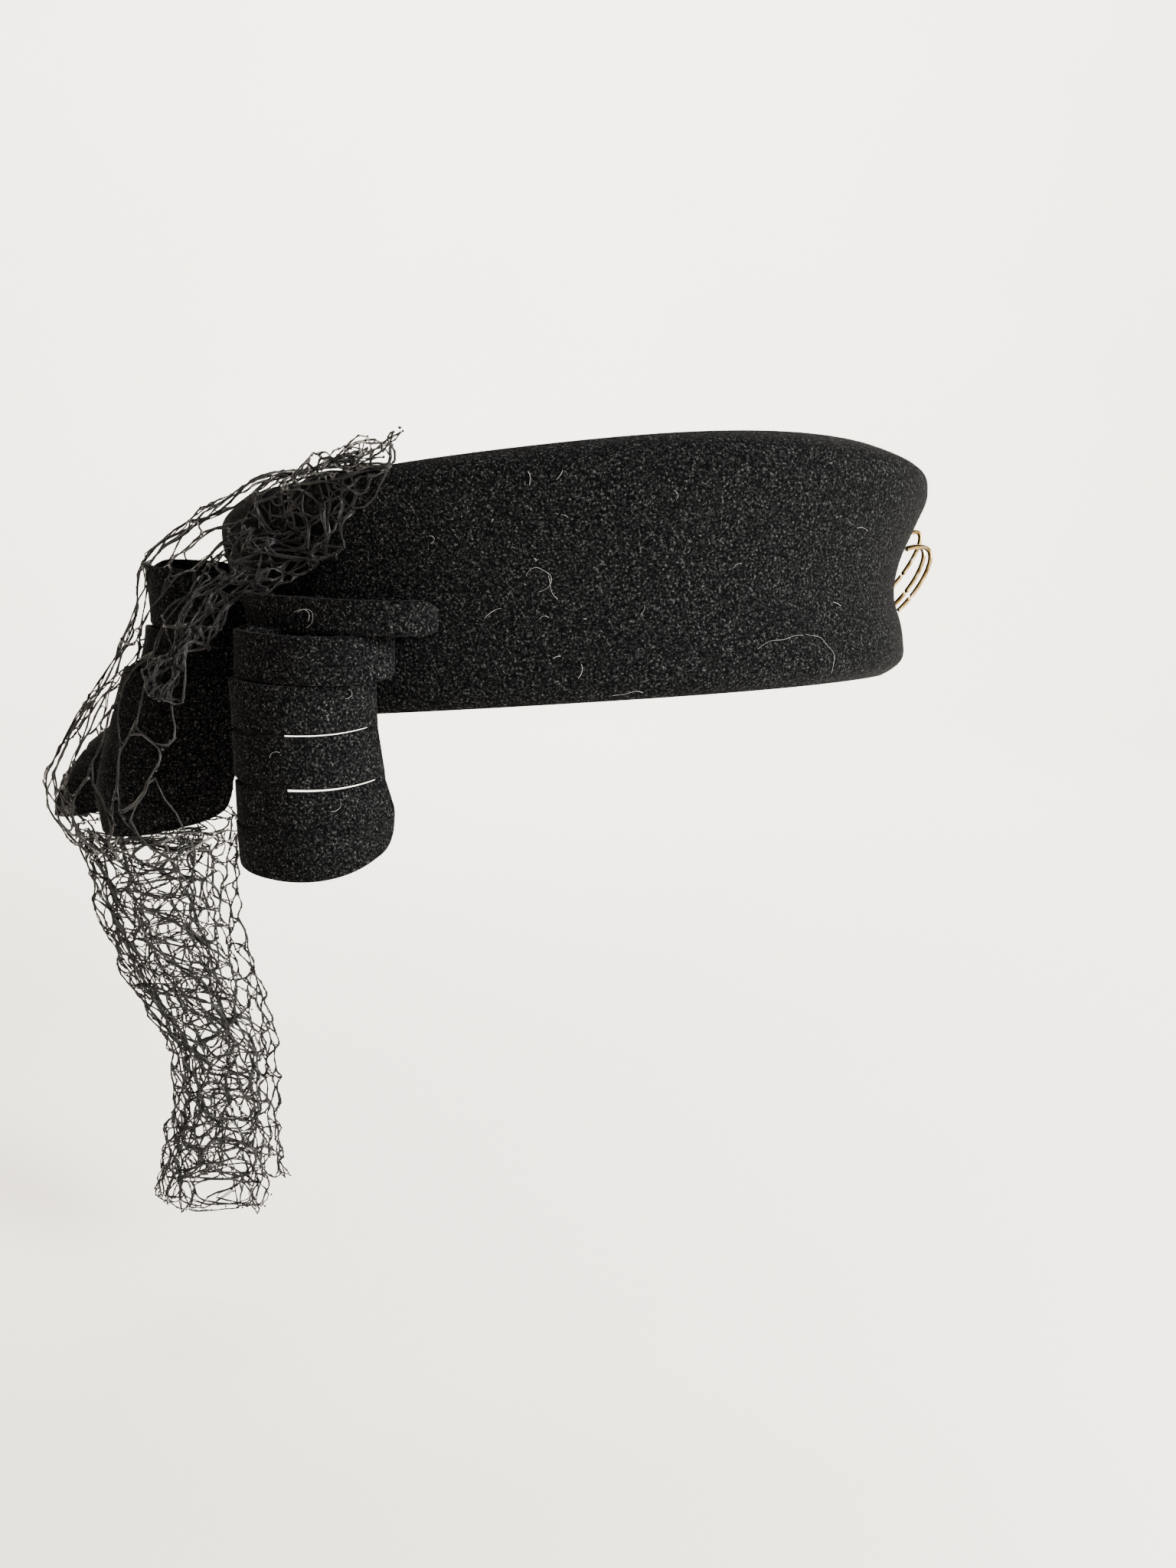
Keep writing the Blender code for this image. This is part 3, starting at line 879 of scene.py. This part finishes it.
def make_net_sheet(sheet, grid, normals, tree, material):
    """Doubled threads round every mesh and a lump at every knot, draped as one sheet.

    The number of columns is also the seed of what is random in it.
    """
    name, columns, rows, width, length = sheet[:5]
    randoms = np.random.default_rng(columns)
    flat, meshes = net_meshes(columns, rows)
    flat = flat + randoms.normal(0, KNOT_SCATTER, flat.shape) * (1 / columns, 1 / rows)
    corners = flat[meshes]
    middles = corners.mean(axis=1, keepdims=True)
    size = np.linalg.norm((corners - middles) * (width, length), axis=-1, keepdims=True)
    points, faces, count = [], [], 0
    for inset, crinkle in THREAD_RINGS:
        rings = rounded_rings(middles + (corners - middles) * (1 - inset / size))
        places, normal, in_tail = hang(sheet, rings, grid, normals)
        places = places + randoms.normal(0, crinkle, places.shape)
        places = keep_outside(places, normal, in_tail, tree)
        ring_points, ring_faces = ring_tubes(places, THREAD / 2)
        faces += (ring_faces + count).tolist()
        points += ring_points.tolist()
        count += len(ring_points)
    knots, normal, in_tail = hang(sheet, flat, grid, normals)
    knot_points, knot_faces = knot_lumps(keep_outside(knots, normal, in_tail, tree), randoms)
    faces += (knot_faces + count).tolist()
    points += knot_points.tolist()
    piece = add_piece(name, points, faces, material, "net_veil")


def knot_lumps(knots, randoms):
    """A small eight-sided lump at each knot."""
    axes = np.array([(1, 0, 0), (0, 1, 0), (-1, 0, 0), (0, -1, 0), (0, 0, 1), (0, 0, -1)], float)
    sizes = randoms.uniform(*KNOT_SIZES, (len(knots), 6, 1)) * KNOT
    points = (knots[:, None] + axes * sizes).reshape(-1, 3)
    sides = [(i, (i + 1) % 4, 4) for i in range(4)] + [((i + 1) % 4, i, 5) for i in range(4)]
    faces = (np.arange(len(knots))[:, None, None] * 6 + np.array(sides)).reshape(-1, 3)
    return points, faces


# Fibres and lint


def felt_triangles():
    """The triangles of every outward felt surface, an array of triangles by corners by three."""
    found = []
    for mesh in felt_meshes():
        mesh.calc_loop_triangles()
        points = np.empty(len(mesh.vertices) * 3, np.float32)
        mesh.vertices.foreach_get("co", points)
        corners = np.empty(len(mesh.loop_triangles) * 3, np.int32)
        mesh.loop_triangles.foreach_get("vertices", corners)
        found.append(points.reshape(-1, 3)[corners.reshape(-1, 3)].astype(float))
    crown = found[0]
    middle = crown.mean(axis=1) - (CROWN_FORWARD, 0, CROWN_HEIGHT / 2)
    across = np.cross(crown[:, 1] - crown[:, 0], crown[:, 2] - crown[:, 0])
    found[0] = crown[(across * middle).sum(axis=1) > 0]
    return np.concatenate(found)


def make_fibres(material):
    """Short loose fibres that stand a little out of the felt, each a closed spindle."""
    randoms = np.random.default_rng(FIBRE_SEED)
    triangles = felt_triangles()
    a, b, c = triangles[:, 0], triangles[:, 1], triangles[:, 2]
    normal = np.cross(b - a, c - a)
    area = np.linalg.norm(normal, axis=1, keepdims=True)
    normal /= np.maximum(area, 1e-15)
    picked = randoms.choice(len(triangles), FIBRES, p=area[:, 0] / area.sum())
    along = np.sqrt(randoms.random((FIBRES, 1)))
    across = randoms.random((FIBRES, 1))
    root = a[picked] * (1 - along) + (b[picked] * (1 - across) + c[picked] * across) * along
    lie = randoms.normal(0, 1, (FIBRES, 3))
    up = normal[picked]
    lie -= up * (lie * up).sum(axis=1, keepdims=True)
    lie /= np.linalg.norm(lie, axis=1, keepdims=True)
    heading = lie + up * randoms.uniform(*FIBRE_RISE, (FIBRES, 1))
    length = randoms.uniform(*FIBRE_LENGTHS, (FIBRES, 1))
    side = np.cross(heading, up)
    side /= np.linalg.norm(side, axis=1, keepdims=True)
    middle = root + heading * length / 2 + side * length * randoms.normal(0, FIBRE_BEND, (FIBRES, 1))
    ring = [
        middle + (side * math.cos(turn) + up * math.sin(turn)) * FIBRE_THICKNESS / 2
        for turn in np.arange(3) * math.tau / 3
    ]
    points = np.stack([root, root + heading * length, *ring], axis=1).reshape(-1, 3)
    shape = np.array([(0, 3, 2), (0, 4, 3), (0, 2, 4), (1, 2, 3), (1, 3, 4), (1, 4, 2)])
    faces = (np.arange(FIBRES)[:, None, None] * 5 + shape).reshape(-1, 3)
    add_piece("felt_fibres", points.tolist(), faces.tolist(), material)


def picture_ray(x, y):
    """The direction from the camera through this place in the picture."""
    reach = LENS / SENSOR * PICTURE[1]
    look = Vector((x - PICTURE[0] / 2, PICTURE[1] / 2 - y, -reach)).normalized()
    return Matrix.Rotation(math.pi / 2 - CAMERA_DOWN, 3, "X") @ look


def make_lint(material, tree):
    """Stray hairs and specks, drawn in the picture and laid on the felt behind it."""
    points, faces = [], []
    camera = Vector(CAMERA_PLACE)
    for x, y, heading, turn, length, thickness in LINT:
        steps = max(2, round(length / LINT_STEP))
        path = []
        for step in range(steps + 1):
            ray = picture_ray(x, y)
            hit, _, _, _ = tree.ray_cast(camera, ray)
            if hit is not None:
                lift = LINT_LIFT * (1 + math.sin(3 * step / steps))
                path.append(hit - ray * lift)
            sway = LINT_SWAY * math.sin(x / LINT_WAVE[0] + y / LINT_WAVE[1])
            way = math.radians(heading + turn * step / steps + sway)
            x += math.cos(way) * length / steps
            y += math.sin(way) * length / steps
        if len(path) > 1:
            hair_points, hair_faces = tube(np.array(path), thickness / 2, 4)
            faces += [tuple(len(points) + k for k in face) for face in hair_faces]
            points += hair_points.tolist()
    add_piece("lint", points, faces, material)


def cubic_point(controls, t):
    weights = ((1 - t) ** 3, 3 * t * (1 - t) ** 2, 3 * t * t * (1 - t), t**3)
    return tuple(sum(w * c[axis] for w, c in zip(weights, controls)) for axis in (0, 1))


def make_wire_loop(row, material):
    name, angle, foot, reach_share, height_share = row
    angle = math.radians(angle)
    low = (worn() @ wall_point(angle, foot)).z
    tall = WIRE_HEIGHT * height_share
    ends = (WIRE_CURVE[0], WIRE_CURVE[-1])
    feet = [beside_wall(angle, low + tall * up, WIRE_SEAT) for _, up in ends]
    path = []
    for along in np.linspace(0, 1, WIRE_STEPS):
        out, up = cubic_point(WIRE_CURVE, along)
        place = feet[0].lerp(feet[1], along) + outward(angle) * WIRE_REACH * reach_share * out
        path.append((place.x, place.y, low + tall * up))
    points, faces = tube(np.array(path), WIRE / 2, WIRE_SIDES)
    add_piece(name + "_metal", points.tolist(), faces, material, name)


# Set


def make_floor():
    """A round floor whose edge curves up, with its faces towards the middle."""
    flat_radius = FLOOR_RADIUS - COVE_RADIUS
    profile = [(radius, 0.0) for radius in (*FLAT_RINGS, flat_radius)]
    for step in range(1, COVE_STEPS + 1):
        turn = math.pi / 2 * step / COVE_STEPS
        profile.append(
            (flat_radius + COVE_RADIUS * math.sin(turn), COVE_RADIUS * (1 - math.cos(turn)))
        )
    profile.append((FLOOR_RADIUS, COVE_HEIGHT))
    turns = [math.tau * i / FLOOR_COLUMNS for i in range(FLOOR_COLUMNS)]
    points = [
        (radius * math.cos(turn), radius * math.sin(turn), FLOOR_HEIGHT + up)
        for radius, up in profile
        for turn in turns
    ]
    faces = [tuple(reversed(face)) for face in grid_faces(len(profile), FLOOR_COLUMNS, True)]
    middle = len(points)
    points.append((0, 0, FLOOR_HEIGHT))
    faces += [(middle, i, (i + 1) % FLOOR_COLUMNS) for i in range(FLOOR_COLUMNS)]
    floor = new_object("floor", points, faces, floor_material())


def add_light(name, place, target, size, power, colour):
    data = bpy.data.lights.new(name, "AREA")
    data.shape = "DISK"
    data.size = size
    data.energy = power
    data.color = colour
    light = bpy.data.objects.new(name, data)
    light.location = place
    light.rotation_euler = (Vector(target) - Vector(place)).to_track_quat("-Z", "Y").to_euler()
    bpy.context.scene.collection.objects.link(light)


def make_lights():
    for light in LIGHTS:
        add_light(*light)
    world = bpy.data.worlds.new("sky")
    world.use_nodes = True
    background = world.node_tree.nodes["Background"]
    background.inputs["Color"].default_value = SKY_COLOUR
    background.inputs["Strength"].default_value = SKY_STRENGTH
    bpy.context.scene.world = world


def make_camera():
    data = bpy.data.cameras.new("camera")
    data.lens = LENS
    data.sensor_width = SENSOR
    data.sensor_fit = "AUTO"
    camera = bpy.data.objects.new("camera", data)
    camera.location = CAMERA_PLACE
    camera.rotation_euler = (math.pi / 2 - CAMERA_DOWN, 0, 0)
    bpy.context.scene.collection.objects.link(camera)
    bpy.context.scene.camera = camera


def main():
    make_camera()
    make_floor()
    make_lights()
    felt = felt_material()
    make_crown(felt)
    for curl in CURLS:
        make_curl(curl, felt)
    tree = felt_tree()
    make_net(net_material(), tree)
    make_fibres(fibre_material())
    make_lint(lint_material(), tree)
    metal = wire_material()
    for row in WIRE_LOOPS:
        make_wire_loop(row, metal)


main()
